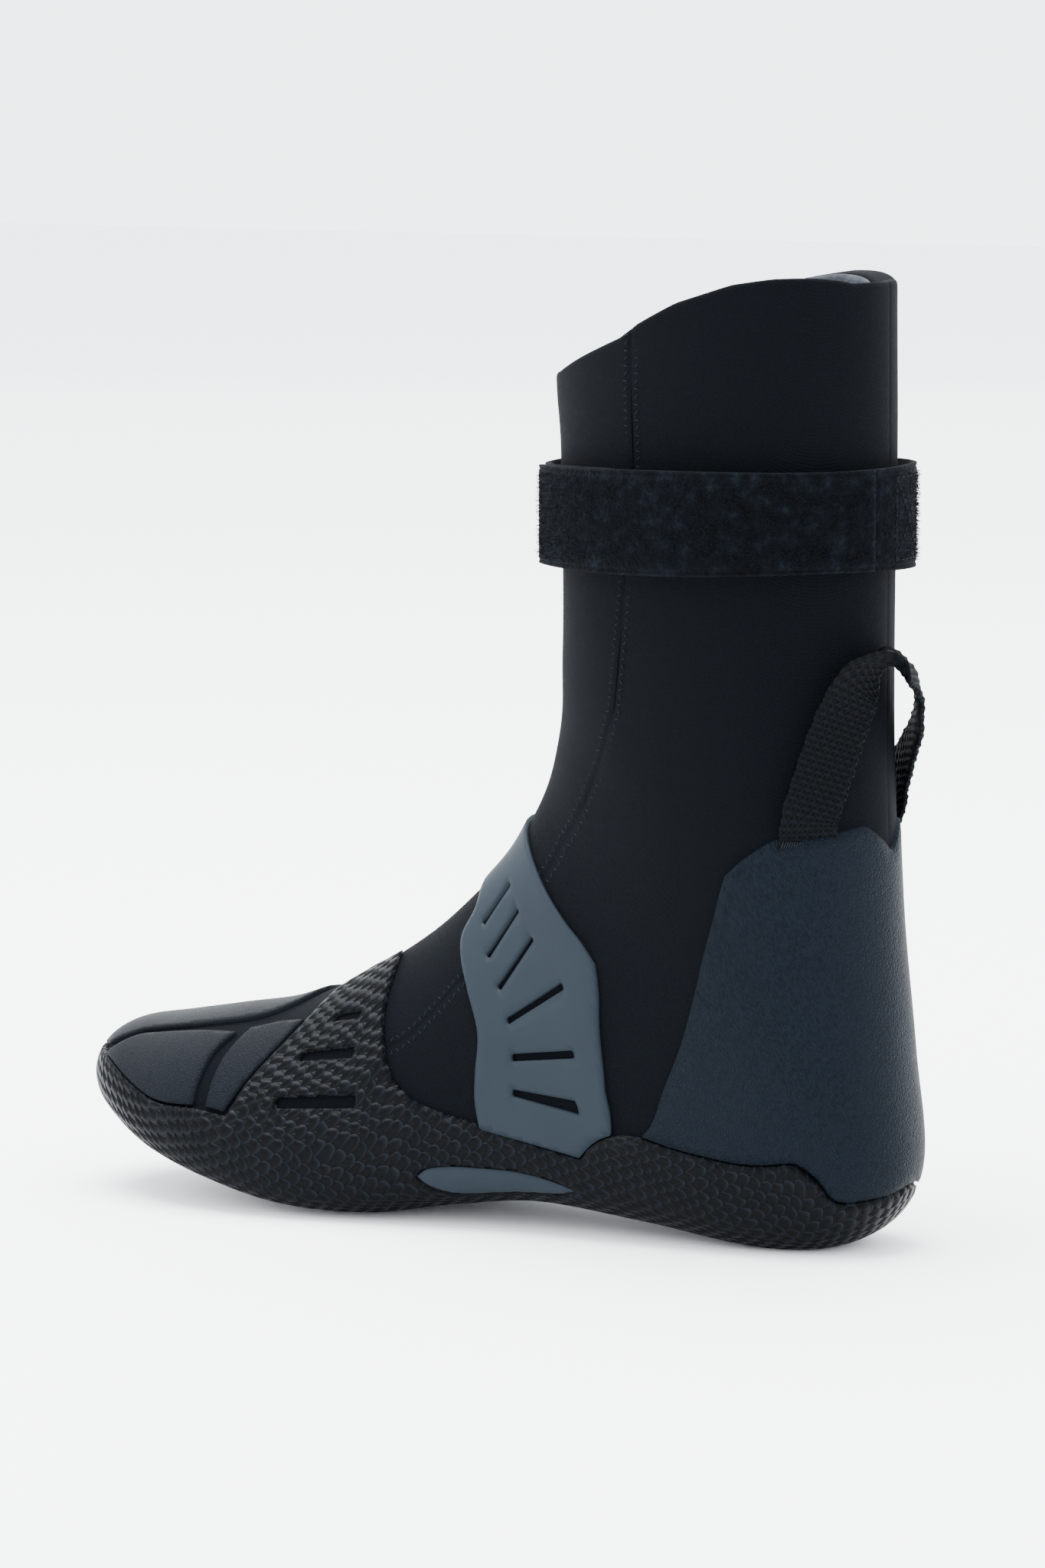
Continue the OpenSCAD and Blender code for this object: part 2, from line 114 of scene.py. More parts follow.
def skin(t, th, d, s=0.0):
    """Points in mm at section t, angle th in degrees, depth d, and extra depth s under the foot."""
    t, th, d = np.broadcast_arrays(np.asarray(t, float), np.asarray(th, float), np.asarray(d, float))
    t = lifted(t, th)
    row = section(t)
    toe = np.maximum(0, 1 - t / TOE_ROUND)
    side = np.sqrt(1 - toe ** 2)
    upper, lower = row[..., 0:2], row[..., 2:4]
    down = (lower - upper) / np.linalg.norm(lower - upper, axis=-1, keepdims=True)
    under = np.where(t < SOLE_END, 1, np.maximum(0, 1 - (t - SOLE_END) / SOLE_FADE))
    shift = np.stack([d * toe, 0 * toe], -1)
    a = upper + down * (d * side)[..., None] + shift
    b = lower - down * ((d + s * under) * side)[..., None] + shift
    cosine, sine = np.cos(np.radians(th)), np.sin(np.radians(th))
    medial = sine > 0
    half_width = np.where(medial, row[..., 4], row[..., 5]) - d * side
    roundness = np.where(cosine > 0, row[..., 7], row[..., 8])
    rise, reach = np.abs(cosine) ** (2 / roundness), np.abs(sine) ** (2 / roundness)
    arch_height = row[..., 9] * rise * reach ** 1.5 / np.linalg.norm(b - a, axis=-1)
    lift = np.where(medial & (cosine < 0), arch_height, 0)
    widest = row[..., 6]
    f = np.where(cosine > 0, widest * (1 - rise), widest + (1 - widest) * rise) - lift
    point = a + (b - a) * f[..., None]
    z = point[..., 1] + row[..., 10] * (np.maximum(0, f - RISE_FROM) / RISE_SPAN) ** 2
    out = np.stack([point[..., 0], np.where(medial, -1, 1) * half_width * reach, z], -1) - CENTRE
    free = -9
    out[..., 2] = np.maximum(out[..., 2], np.where(d <= ON_GROUND, 0.0, free))
    return out


# Lengths over the surface, for the materials' patterns: u along the boot, v round it
PER_SECTION, PER_DEGREE = 20, 0.5
T_GRID = np.linspace(0, LAST, LAST * PER_SECTION + 1)
TH_GRID = np.linspace(0, 360, 181)
SURFACE = skin(T_GRID[:, None], TH_GRID[None, :], 0)
STEPS_ALONG = np.linalg.norm(np.diff(SURFACE, axis=0), axis=-1)
STEPS_ROUND = np.linalg.norm(np.diff(SURFACE, axis=1), axis=-1)
ALONG = np.concatenate([np.zeros((1, len(TH_GRID))), np.cumsum(STEPS_ALONG, 0)])
ROUND = np.concatenate([np.zeros((len(T_GRID), 1)), np.cumsum(STEPS_ROUND, 1)], 1)
ROUND = ROUND - ROUND[:, 90:91]


def lengths(t, th):
    """The lengths along and round the boot, in mm, at section t and angle th."""
    x = np.clip(t, 0, LAST - 0.01) / LAST * (len(T_GRID) - 1)
    y = np.clip(th % 360, 0, 359.9) * PER_DEGREE
    i, j = x.astype(int), y.astype(int)
    f, g = x - i, y - j

    def mix(a):
        return ((a[i, j] * (1 - f) + a[i + 1, j] * f) * (1 - g)
                + (a[i, j + 1] * (1 - f) + a[i + 1, j + 1] * f) * g)
    return np.stack([mix(ALONG), mix(ROUND)], -1)


# ---------------------------------------------------------------- meshes
def new_mesh(name, points, faces, uv=None, material=None, smooth=True):
    """A mesh object from points in mm. uv holds one pair in mm for each point."""
    mesh = bpy.data.meshes.new(name)
    mesh.from_pydata((np.asarray(points) * MM).tolist(), [], [list(map(int, f)) for f in faces])
    if uv is not None:
        layer = mesh.uv_layers.new(name="lengths")
        index = np.empty(len(mesh.loops), int)
        mesh.loops.foreach_get("vertex_index", index)
        layer.data.foreach_set("uv", (np.asarray(uv)[index]).astype(np.float32).ravel())
    mesh.polygons.foreach_set("use_smooth", [smooth] * len(mesh.polygons))
    mesh.update()
    obj = bpy.data.objects.new(name, mesh)
    bpy.context.collection.objects.link(obj)
    if material:
        obj.data.materials.append(material)
    return obj


def grid_faces(rows, cols, wrap=False):
    """Four-sided faces over rows of points. With wrap, each row closes on itself."""
    i, j = np.meshgrid(np.arange(rows - 1), np.arange(cols if wrap else cols - 1), indexing="ij")
    a = i * cols + j
    b = i * cols + (j + 1) % cols
    return np.stack([a, b, b + cols, a + cols], -1).reshape(-1, 4)


FLAT = np.array([23.0, 0.6])  # about mm for one section and for one degree


def curve(points, corners=(), step=0.8):
    """A closed outline through [section, angle] points, smooth except at the numbered corners."""
    points = np.array(points, float)
    n = len(points)
    out = []
    for i in range(n):
        start, end = points[i], points[(i + 1) % n]
        before = start if i in corners else points[i - 1]
        after = end if (i + 1) % n in corners else points[(i + 2) % n]
        count = max(2, int(np.linalg.norm((end - start) * FLAT) / step))
        for f in np.arange(count) / count:
            out.append(spline(before, start, end, after, f))
    return np.array(out)


def inside(points, ring):
    """Whether each flat point lies within a closed ring."""
    x, y = points[:, 0], points[:, 1]
    hit = np.zeros(len(points), bool)
    for (x1, y1), (x2, y2) in zip(ring, np.roll(ring, -1, 0)):
        if y1 == y2:
            continue
        hit ^= ((y1 > y) != (y2 > y)) & (x < (x2 - x1) * (y - y1) / (y2 - y1) + x1)
    return hit


def edge_distance(points, rings):
    """How far each flat point lies from the nearest edge of the rings."""
    best = np.full(len(points), 1e9)
    for ring in rings:
        for a, b in zip(ring, np.roll(ring, -1, 0)):
            ab = b - a
            f = np.clip(((points - a) @ ab) / max(ab @ ab, 1e-12), 0, 1)
            best = np.minimum(best, np.linalg.norm(points - a - f[:, None] * ab, axis=1))
    return best


def scattered(rings, step):
    """Flat points on a grid of even triangles, within the first ring and outside the others."""
    low, high = rings[0].min(0), rings[0].max(0)
    xs = np.arange(low[0], high[0], step)
    ys = np.arange(low[1], high[1], step * 0.866)
    grid_x, grid_y = np.meshgrid(xs, ys)
    grid_x = grid_x + (np.arange(len(ys)) % 2)[:, None] * step / 2
    points = np.stack([grid_x.ravel(), grid_y.ravel()], 1)
    points = points[within(points, rings)]
    return points[edge_distance(points, rings) > step * 0.45]


def within(points, rings):
    """Whether each flat point lies within the first ring and outside the others."""
    keep = inside(points, rings[0])
    for hole in rings[1:]:
        keep &= ~inside(points, hole)
    return keep


def overlay(name, outline, holes, material, step=1.6, depth=0.0, base=FOAM_OUT + SLACK, edge=0.9,
            swell=None):
    """A skin cut to an outline on the boot, with holes, rounded edges and a rim down to the foam."""
    rings = [outline * FLAT] + [hole * FLAT for hole in holes]
    corners, edges = [], []
    for ring in rings:
        first = len(corners)
        corners += ring.tolist()
        edges += [(first + i, first + (i + 1) % len(ring)) for i in range(len(ring))]
    corners += scattered(rings, step).tolist()
    flat, _, faces, *_ = delaunay_2d_cdt([Vector(p) for p in corners], edges, [], 0, 1e-5)
    flat = np.array([[p[0], p[1]] for p in flat])
    faces = np.array([list(face) for face in faces])
    faces = faces[within(flat[faces].mean(1), rings)]
    used, faces = np.unique(faces, return_inverse=True)
    faces = faces.reshape(-1, 3)
    flat = flat[used]
    t, th = (flat / FLAT).T
    distance = edge_distance(flat, rings)
    d = depth + 0.35 * (1 - np.clip(distance / edge, 0, 1)) ** 2
    if swell:
        d = d - swell(distance)
    top = skin(t, th, d)
    sides = {}
    for a, b, c in faces:
        for pair in ((a, b), (b, c), (c, a)):
            key = tuple(sorted(pair))
            sides[key] = None if key in sides else pair
    border = [pair for pair in sides.values() if pair is not None]
    ends = sorted({i for pair in border for i in pair})
    number = {i: len(flat) + n for n, i in enumerate(ends)}
    below = skin(t[ends], th[ends], base)
    rim = [[b, a, number[a], number[b]] for a, b in border]
    uv = lengths(t, th)
    return new_mesh(name, np.concatenate([top, below]), [list(face) for face in faces] + rim,
                    np.concatenate([uv, uv[ends]]), material)


def mirror(points):
    """The same outline on the other side of the boot, in the opposite order."""
    return [[p[0], 360 - p[1]] for p in reversed(points)]


def slot(p, q, width):
    """A thin round-ended hole between two [section, angle] points, width in mm."""
    p, q = np.array(p, float), np.array(q, float)
    t, th = (p + q) / 2
    here = skin(t, th, 0)
    per = np.array([np.linalg.norm(skin(t + 0.1, th, 0) - here) / 0.1,
                    np.linalg.norm(skin(t, th + 2, 0) - here) / 2])
    along = (q - p) * per
    along /= np.linalg.norm(along)
    across = np.array([-along[1], along[0]])
    ring = []
    for centre, start in ((q, -90), (p, 90)):
        for a in np.radians(np.arange(start, start + 181, 22.5)):
            ring.append(centre + (along * math.cos(a) * 0.5 + across * math.sin(a)) * width / 2 / per)
    return np.array(ring)


# ---------------------------------------------------------------- materials
def shader(name, colour, rough=0.6, sheen=0.0, specular=0.5):
    """A new material, with its nodes, links and surface node."""
    m = bpy.data.materials.new(name)
    m.use_nodes = True
    nodes, links = m.node_tree.nodes, m.node_tree.links
    b = nodes["Principled BSDF"]
    b.inputs["Base Color"].default_value = (*colour, 1)
    b.inputs["Roughness"].default_value = rough
    b.inputs["Sheen Weight"].default_value = sheen
    b.inputs["Specular IOR Level"].default_value = specular
    return m, nodes, links, b


def math_node(nodes, links, op, a, b=None):
    """One sum on sockets or numbers."""
    n = nodes.new("ShaderNodeMath")
    n.operation = op
    for i, x in enumerate((a, b)):
        if x is None:
            continue
        if isinstance(x, (int, float)):
            n.inputs[i].default_value = x
        else:
            links.new(x, n.inputs[i])
    return n.outputs[0]


def bump(nodes, links, height, distance, strength=1.0, after=None):
    """A bumped normal from a height, with its full depth in mm, laid over another if given."""
    n = nodes.new("ShaderNodeBump")
    n.inputs["Distance"].default_value = distance * MM
    n.inputs["Strength"].default_value = strength
    links.new(height, n.inputs["Height"])
    if after is not None:
        links.new(after, n.inputs["Normal"])
    return n.outputs["Normal"]


def noise(nodes, links, vector, scale, detail=3.0):
    """Cloudy noise at a number of cells for each of the vector's units."""
    n = nodes.new("ShaderNodeTexNoise")
    n.inputs["Scale"].default_value = scale
    n.inputs["Detail"].default_value = detail
    links.new(vector, n.inputs["Vector"])
    return n.outputs["Fac"]


def shade(nodes, links, bsdf, colour, factor, dark=0.7, light=1.3):
    """Varies the base colour between darker and lighter by a factor from 0 to 1."""
    n = nodes.new("ShaderNodeMix")
    n.data_type = "RGBA"
    n.inputs[6].default_value = (*[c * dark for c in colour], 1)
    n.inputs[7].default_value = (*[c * light for c in colour], 1)
    links.new(factor, n.inputs[0])
    links.new(n.outputs[2], bsdf.inputs["Base Color"])


def coordinates(nodes, links):
    """The lengths map in mm (u, v sockets), and the object's own coordinates."""
    uv = nodes.new("ShaderNodeUVMap")
    uv.uv_map = "lengths"
    split = nodes.new("ShaderNodeSeparateXYZ")
    links.new(uv.outputs["UV"], split.inputs[0])
    place = nodes.new("ShaderNodeTexCoord").outputs["Object"]
    return split.outputs[0], split.outputs[1], uv.outputs["UV"], place


def scales(name, colour):
    """Black rubber in overlapping scales, 3.6 mm along the boot by 4.6 mm round it, a little uneven."""
    m, nodes, links, b = shader(name, colour, rough=0.42, specular=0.04)
    u, v, uv, place = coordinates(nodes, links)
    wobble = math_node(nodes, links, "SUBTRACT", noise(nodes, links, uv, 0.07, 2), 0.5)
    long, wide = 3.6, 4.6
    u = math_node(nodes, links, "ADD", math_node(nodes, links, "DIVIDE", u, long),
                  math_node(nodes, links, "MULTIPLY", wobble, 1.5))
    v = math_node(nodes, links, "ADD", math_node(nodes, links, "DIVIDE", v, wide),
                  math_node(nodes, links, "MULTIPLY", wobble, -1.2))
    row = math_node(nodes, links, "FLOOR", u)
    odd = math_node(nodes, links, "MULTIPLY", math_node(nodes, links, "MODULO", row, 2), 0.5)
    across = math_node(nodes, links, "FRACT", math_node(nodes, links, "ADD", v, odd))
    across = math_node(nodes, links, "SUBTRACT", across, 0.5)
    arc = math_node(nodes, links, "MULTIPLY", math_node(nodes, links, "MULTIPLY", across, across), 2.6)
    ramp = math_node(nodes, links, "FRACT", math_node(nodes, links, "ADD", u, arc))
    lip = math_node(nodes, links, "POWER", ramp, 1.6)
    grain = noise(nodes, links, place, 1800, 4)
    height = math_node(nodes, links, "ADD", lip, math_node(nodes, links, "MULTIPLY", grain, 0.05))
    links.new(bump(nodes, links, height, 1.3, 1.0), b.inputs["Normal"])
    # Painted highlight: the base colour brightens up to five times towards each scale's raised lip and
    # stays darker over the rest of the scale.
    shade(nodes, links, b, colour, math_node(nodes, links, "POWER", ramp, 5), 0.55, 5.0)
    return m


def grained(name, colour, cell, depth, rough):
    """Coated fabric with pebbled grain of the given cell size in mm."""
    m, nodes, links, b = shader(name, colour, rough=rough, specular=0.035)
    _, _, uv, place = coordinates(nodes, links)
    cells = nodes.new("ShaderNodeTexVoronoi")
    cells.feature = "DISTANCE_TO_EDGE"
    cells.inputs["Scale"].default_value = 1 / cell
    soft = bump(nodes, links, noise(nodes, links, place, 45, 2), 2.5, 0.35)
    links.new(uv, cells.inputs["Vector"])
    dome = math_node(nodes, links, "MINIMUM", cells.outputs["Distance"], 0.32)
    fine = noise(nodes, links, place, 2500, 3)
    height = math_node(nodes, links, "ADD", dome, math_node(nodes, links, "MULTIPLY", fine, 0.12))
    links.new(bump(nodes, links, height, depth, 1.0, soft), b.inputs["Normal"])
    broad = noise(nodes, links, place, 45, 3)
    # Painted shade: the colour darkens from each pebble's middle into the grooves between the pebbles; the
    # broad noise adds uneven tone on top.
    shade(nodes, links, b, colour, math_node(nodes, links, "ADD",
          math_node(nodes, links, "MULTIPLY", cells.outputs["Distance"], 0.9),
          math_node(nodes, links, "MULTIPLY", broad, 0.35)), 0.72, 1.25)
    return m


def knitted(name, colour, pitch=0.9, depth=0.22, rough=0.85, sheen=0.006):
    """Fine jersey: columns of small loops, with a faint slant and soft unevenness."""
    m, nodes, links, b = shader(name, colour, rough=rough, sheen=sheen, specular=0.04)
    b.inputs["Sheen Roughness"].default_value = 0.45
    b.inputs["Sheen Tint"].default_value = (0.55, 0.65, 0.8, 1)
    u, v, _, place = coordinates(nodes, links)
    k = 2 * math.pi / pitch
    slant = math_node(nodes, links, "ADD", u, math_node(nodes, links, "MULTIPLY", v, 0.35))
    a = math_node(nodes, links, "SINE", math_node(nodes, links, "MULTIPLY", slant, k * 0.8))
    c = math_node(nodes, links, "SINE", math_node(nodes, links, "MULTIPLY", v, k))
    loops = math_node(nodes, links, "MULTIPLY", a, c)
    specks = noise(nodes, links, place, 1400, 4)
    height = math_node(nodes, links, "ADD", math_node(nodes, links, "MULTIPLY", loops, 0.5), specks)
    first = bump(nodes, links, noise(nodes, links, place, 30, 3), 0.8, 0.35)
    links.new(bump(nodes, links, height, depth, 0.9, first), b.inputs["Normal"])
    # Painted shade: the colour is lighter on the loops' crests and darker between them; the specks add
    # uneven tone.
    mix = math_node(nodes, links, "ADD", math_node(nodes, links, "MULTIPLY", loops, 0.25),
                    math_node(nodes, links, "MULTIPLY", specks, 1.0))
    shade(nodes, links, b, colour, mix, 0.55, 1.7)
    return m


def smooth_rubber(name, colour):
    """Smooth matt coating with faint blotches and a fine tooth."""
    m, nodes, links, b = shader(name, colour, rough=0.55, specular=0.06)
    place = nodes.new("ShaderNodeTexCoord").outputs["Object"]
    broad = noise(nodes, links, place, 60, 4)
    tooth = noise(nodes, links, place, 2200, 3)
    first = bump(nodes, links, broad, 0.5, 0.35)
    links.new(bump(nodes, links, tooth, 0.06, 0.6, first), b.inputs["Normal"])
    shade(nodes, links, b, colour, broad, 0.88, 1.12)
    return m


def fuzzy(name, colour, scale, depth, dark=0.15, light=5.5, power=5.0):
    """Brushed pile or fleece: clumps and fibres."""
    m, nodes, links, b = shader(name, colour, rough=0.95, sheen=0.012, specular=0.04)
    b.inputs["Sheen Roughness"].default_value = 0.6
    b.inputs["Sheen Tint"].default_value = (0.6, 0.68, 0.8, 1)
    place = nodes.new("ShaderNodeTexCoord").outputs["Object"]
    clumps = noise(nodes, links, place, scale, 5)
    tufts = noise(nodes, links, place, scale * 0.3, 3)
    height = math_node(nodes, links, "ADD", clumps, math_node(nodes, links, "MULTIPLY", tufts, 0.6))
    links.new(bump(nodes, links, height, depth, 1.0), b.inputs["Normal"])
    patches = math_node(nodes, links, "ADD", math_node(nodes, links, "MULTIPLY", clumps, 0.4), tufts)
    shade(nodes, links, b, colour, math_node(nodes, links, "POWER", patches, power), dark, light)
    return m


def plain_cloth(name, colour, rough=0.8, scale=1600):
    """Yarn, tape or thread: fibres along the strand."""
    m, nodes, links, b = shader(name, colour, rough=rough, specular=0.05)
    place = nodes.new("ShaderNodeTexCoord").outputs["Object"]
    fibres = noise(nodes, links, place, scale, 4)
    links.new(bump(nodes, links, fibres, 0.15, 0.8), b.inputs["Normal"])
    shade(nodes, links, b, colour, fibres, 0.6, 1.6)
    return m


def woven(name, colour):
    """Plain-woven webbing: ribs across it, split into cells along it."""
    m, nodes, links, b = shader(name, colour, rough=0.55, specular=0.03)
    u, v, _, place = coordinates(nodes, links)
    rib_pitch, yarn_pitch = 0.95, 0.8
    rib = math_node(nodes, links, "SINE", math_node(nodes, links, "MULTIPLY", u, math.pi / rib_pitch))
    yarn = math_node(nodes, links, "SINE", math_node(nodes, links, "MULTIPLY", v, math.pi / yarn_pitch))
    cell = math_node(nodes, links, "ADD", math_node(nodes, links, "MULTIPLY", rib, yarn), rib)
    fibres = noise(nodes, links, place, 2500, 3)
    height = math_node(nodes, links, "ADD", math_node(nodes, links, "MULTIPLY", cell, 0.3), fibres)
    links.new(bump(nodes, links, height, 0.35, 1.0), b.inputs["Normal"])
    # Painted shade and highlight: the colour is lighter on the rib crests and darker between them,
    # following the weave's relief.
    shade(nodes, links, b, colour, math_node(nodes, links, "ADD",
          math_node(nodes, links, "MULTIPLY", cell, 0.35), 0.5), 0.35, 2.4)
    return m


RUBBER = scales("scaled_rubber", (0.0011, 0.0015, 0.0022))
TOE = grained("toe_overlay", (0.0024, 0.0034, 0.0052), 0.8, 0.4, 0.5)
HEEL = grained("heel_overlay", (0.0026, 0.0046, 0.0076), 1.15, 0.9, 0.5)
BAND = smooth_rubber("band_overlay", (0.0085, 0.0125, 0.0170))
ARCH = smooth_rubber("arch_rubber", (0.0085, 0.0125, 0.0170))
JERSEY = knitted("foam_jersey", (0.0006, 0.0010, 0.0018))
FLEECE = fuzzy("fleece_lining", (0.030, 0.032, 0.038), 700, 0.6, 0.6, 1.5, 1.5)
PILE = fuzzy("strap_pile", (0.0008, 0.0011, 0.0017), 800, 0.7)
WEB = woven("webbing", (0.0008, 0.0011, 0.0016))
THREAD = plain_cloth("thread", (0.0042, 0.0052, 0.0072), 0.6)
TAPE = plain_cloth("seam_tape", (0.004, 0.0043, 0.005))
BED = fuzzy("footbed_foam", (0.004, 0.0045, 0.005), 500, 0.4, 0.6, 1.5, 1.5)
# Painted sheen: the strap's pile fibres get a colour about three times lighter than the pile they stand on,
# for light catching the fibres.
SHEEN_TUFTS = plain_cloth("strap_tufts_painted_sheen", (0.0022, 0.0030, 0.0045), 0.9)
HOOKS = plain_cloth("hook_tape", (0.002, 0.002, 0.0025), 0.5)
CUT_EDGE = plain_cloth("cut_edge", (0.013, 0.014, 0.016), 0.8)

# ---------------------------------------------------------------- outsole and overlays
# On the medial side, as sections and angles: the sole's upper edge, the ends and widths in mm of
# the slots in its wing, and the window in its waist
SOLE_EDGE = [[0.62, 0], [0.75, 20], [1.2, 45], [1.77, 58], [2.76, 72], [3.43, 79], [4.09, 76.5],
             [4.58, 76], [4.86, 58], [5.18, 44], [5.45, 32], [5.72, 16], [6.05, 11], [6.6, 12],
             [6.66, 26], [6.64, 42], [6.71, 58], [6.87, 70], [7.25, 80], [7.87, 90], [8.42, 98],
             [8.91, 104.5], [9.05, 100.5], [9.22, 98], [9.4, 97], [9.67, 98], [9.98, 102],
             [10.57, 110.5], [11.27, 123], [11.41, 129], [11.43, 135], [11.37, 141], [11.40, 147],
             [11.66, 160], [11.88, 176], [11.9, 180]]
WING_SLOTS = [([5.93, 38], [6.27, 41], 3.0), ([5.55, 51], [6.25, 55], 3.4), ([5.3, 68.5], [6.3, 72], 3.8)]
WINDOW = [[6.99, 109], [7.16, 104.5], [7.46, 106.5], [7.83, 111], [8.19, 114], [8.43, 117],
          [8.59, 120.5], [8.67, 124], [8.45, 130], [8.1, 134.5], [7.7, 137], [7.35, 133], [7.12, 122]]


def outsole():
    """The outsole's skin with its wings, slots and arch window, and the small cap at the toe."""
    edge = SOLE_EDGE + mirror(SOLE_EDGE[:-1])
    front, sides = 0.02, 18
    ring = [[front, 360], [front, 0]] + edge
    corners = {0, 1, 2, 9, 15, 23, len(ring) - 1}
    outline = curve(ring, corners | {len(ring) - 1 - c + 2 for c in (9, 15, 23)}, 1.2)
    outline[:, 1] = np.clip(outline[:, 1], 0.01, 359.99)
    outline[:, 0] = np.maximum(outline[:, 0], front)
    holes = [slot(p, q, w) for p, q, w in WING_SLOTS]
    holes += [slot([p[0], 360 - p[1]], [q[0], 360 - q[1]], w) for p, q, w in WING_SLOTS]
    holes.append(curve(WINDOW, {0, 7}, 0.8))
    sole = overlay("outsole_skin", outline, holes, RUBBER, step=1.7)
    tip = skin(front, np.arange(0, 360, 360 / sides), 0)
    cap = new_mesh("outsole_tip", np.concatenate([tip, [tip.mean(0) + [-0.6, 0, 0]]]),
                   [[(i + 1) % sides, i, sides] for i in range(sides)],
                   np.zeros((sides + 1, 2)), RUBBER)
    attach(sole, "boot")
    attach(cap, "boot")
    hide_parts("outsole")


def add_overlay(name, node, slot_name, points, corners, material, holes=(), **words):
    """One overlay on the boot, with its node; the slot name is not used."""
    obj = overlay(name, curve(points, corners), list(holes), material, **words)
    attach(obj, "boot")
    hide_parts(node)


def toe_overlays():
    """The coated toe, split by grooves."""
    front = [[1.84, 57], [2.14, 47], [2.67, 34], [3.2, 31.5], [3.8, 31], [4.42, 33], [4.25, 44],
             [4.15, 58], [4.08, 74.5], [3.43, 77.5], [2.76, 70.5]]
    add_overlay("toe_patch_front", "toe_patch_medial_front", "toe_overlay", front, {0, 5, 8}, TOE, step=1.4)
    rear = [[4.62, 30.5], [4.45, 44], [4.35, 58], [4.29, 73.5], [4.55, 74], [4.83, 57.5], [5.15, 43],
            [5.38, 32], [5.0, 29]]
    add_overlay("toe_patch_rear", "toe_patch_medial_rear", "toe_overlay", rear, {0, 3, 4, 7}, TOE, step=1.2)
    side = [[0.72, 0], [0.9, 22], [1.3, 40], [1.8, 46], [2.3, 36], [2.8, 27.5], [3.7, 25], [4.4, 23],
            [4.85, 18], [5.2, 8], [5.35, -8], [5.3, -26], [5.1, -42], [4.83, -57], [4.55, -74],
            [4.0, -75.5], [3.43, -77.5], [2.76, -70.5], [1.8, -57], [1.25, -43], [0.85, -22]]
    side = [[t, th + 360] for t, th in side]
    add_overlay("toe_patch_side", "toe_patch_lateral", "toe_overlay", side, {3, 14}, TOE, step=1.5)


def heel():
    """The pebbled counter round the heel."""
    half = [[13.48, 103], [13.1, 98.8], [12.4, 93.5], [11.62, 91.2], [10.9, 90.8], [10.28, 92.4],
            [9.72, 97.6], [9.98, 101.3], [10.57, 109.7], [11.3, 122.6], [11.46, 128.5], [11.48, 135],
            [11.42, 141], [11.45, 146.5], [11.7, 159], [11.92, 175], [11.94, 180]]
    top = [[14.5, 180], [14.58, 171], [14.62, 160], [14.48, 147], [14.26, 132], [14.08, 121], [13.78, 111]]
    ring = half + mirror(half[:-1]) + [[p[0], 360 - p[1]] for p in reversed(top[1:])] + top
    n = len(half)
    add_overlay("heel_counter_skin", "heel_counter", "heel_overlay", ring,
                {0, 6, 2 * n - 2 - 6, 2 * n - 2}, HEEL, step=1.7)


def band():
    """The slate band over the instep, with six slots on each side."""
    front = [[8.3, 0], [8.28, 14], [8.25, 26], [7.98, 34], [7.97, 43], [8.05, 53], [8.13, 66],
             [8.0, 76], [7.92, 83], [7.9, 90.5]]
    foot = [[8.42, 97.5], [8.91, 103.5], [9.06, 99.8], [9.22, 97.5], [9.37, 96.5]]
    rear = [[9.55, 89], [9.86, 78], [10.2, 71], [10.40, 66.5], [10.34, 61], [10.2, 55], [10.06, 47],
            [9.96, 38], [9.86, 24], [9.8, 12], [9.8, 0]]
    side = front + foot + rear
    other = [[p[0], 360 - p[1]] for p in reversed(side[1:-1])]
    ring = [[t, th] for t, th in side] + [[t, th - 360] for t, th in other]
    ring = [[t, th + 360] for t, th in ring]
    a, b, count = len(front) - 1, len(front) + len(foot) - 1, len(ring)
    corners = {a, b, a + 2, b + 4, count - a, count - b, count - a - 2, count - b - 4}
    marks = [([9.13, 31], [8.47, 36]), ([9.23, 41.5], [8.5, 47.5]), ([9.38, 51.5], [8.6, 57.5]),
             ([9.62, 65.5], [8.62, 66.5]), ([9.36, 79.5], [8.55, 75.5]), ([9.12, 90.5], [8.43, 84])]
    holes = [slot([p[0], p[1] + 360], [q[0], q[1] + 360], 2.5) for p, q in marks]
    holes += [slot([p[0], 360 - p[1]], [q[0], 360 - q[1]], 2.5) for p, q in marks]
    add_overlay("instep_band_skin", "instep_band", "band_overlay", ring, corners, BAND, holes, step=1.5)


def arch():
    """The slate window in the sole's waist, swollen in its middle."""
    obj = overlay("arch_window", curve(WINDOW, {0, 7}, 0.8), [], ARCH, step=1.3, depth=0.15, base=1.6,
                  swell=lambda d: 0.75 * (1 - np.exp(-d / 3.0)))
    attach(obj, "boot")
    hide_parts("arch_insert")


# ---------------------------------------------------------------- foam panels and lining
# The medial side seam: section and angle
SEAM = np.array([[0, 80], [4, 76], [5.5, 62], [7, 57], [8, 48.5], [9.5, 40], [11, 40], [12.7, 49.5],
                 [14.3, 64], [15.6, 69], [17, 73.5], [19, 74]])
# The cut edge at the collar: mm above the collar's line, and depth into the foam
EDGE = [(-1.6, 0.0), (-0.8, 0.08), (-0.25, 0.4), (0.0, 1.0), (0.05, 2.2), (0.05, 3.6), (0.05, 5.0),
        (0.0, 6.0), (-0.3, 6.7), (-1.0, 7.0)]


def seam(t):
    """The medial seam's angle at section t. The lateral seam mirrors it."""
    return np.interp(t, SEAM[:, 0], SEAM[:, 1])


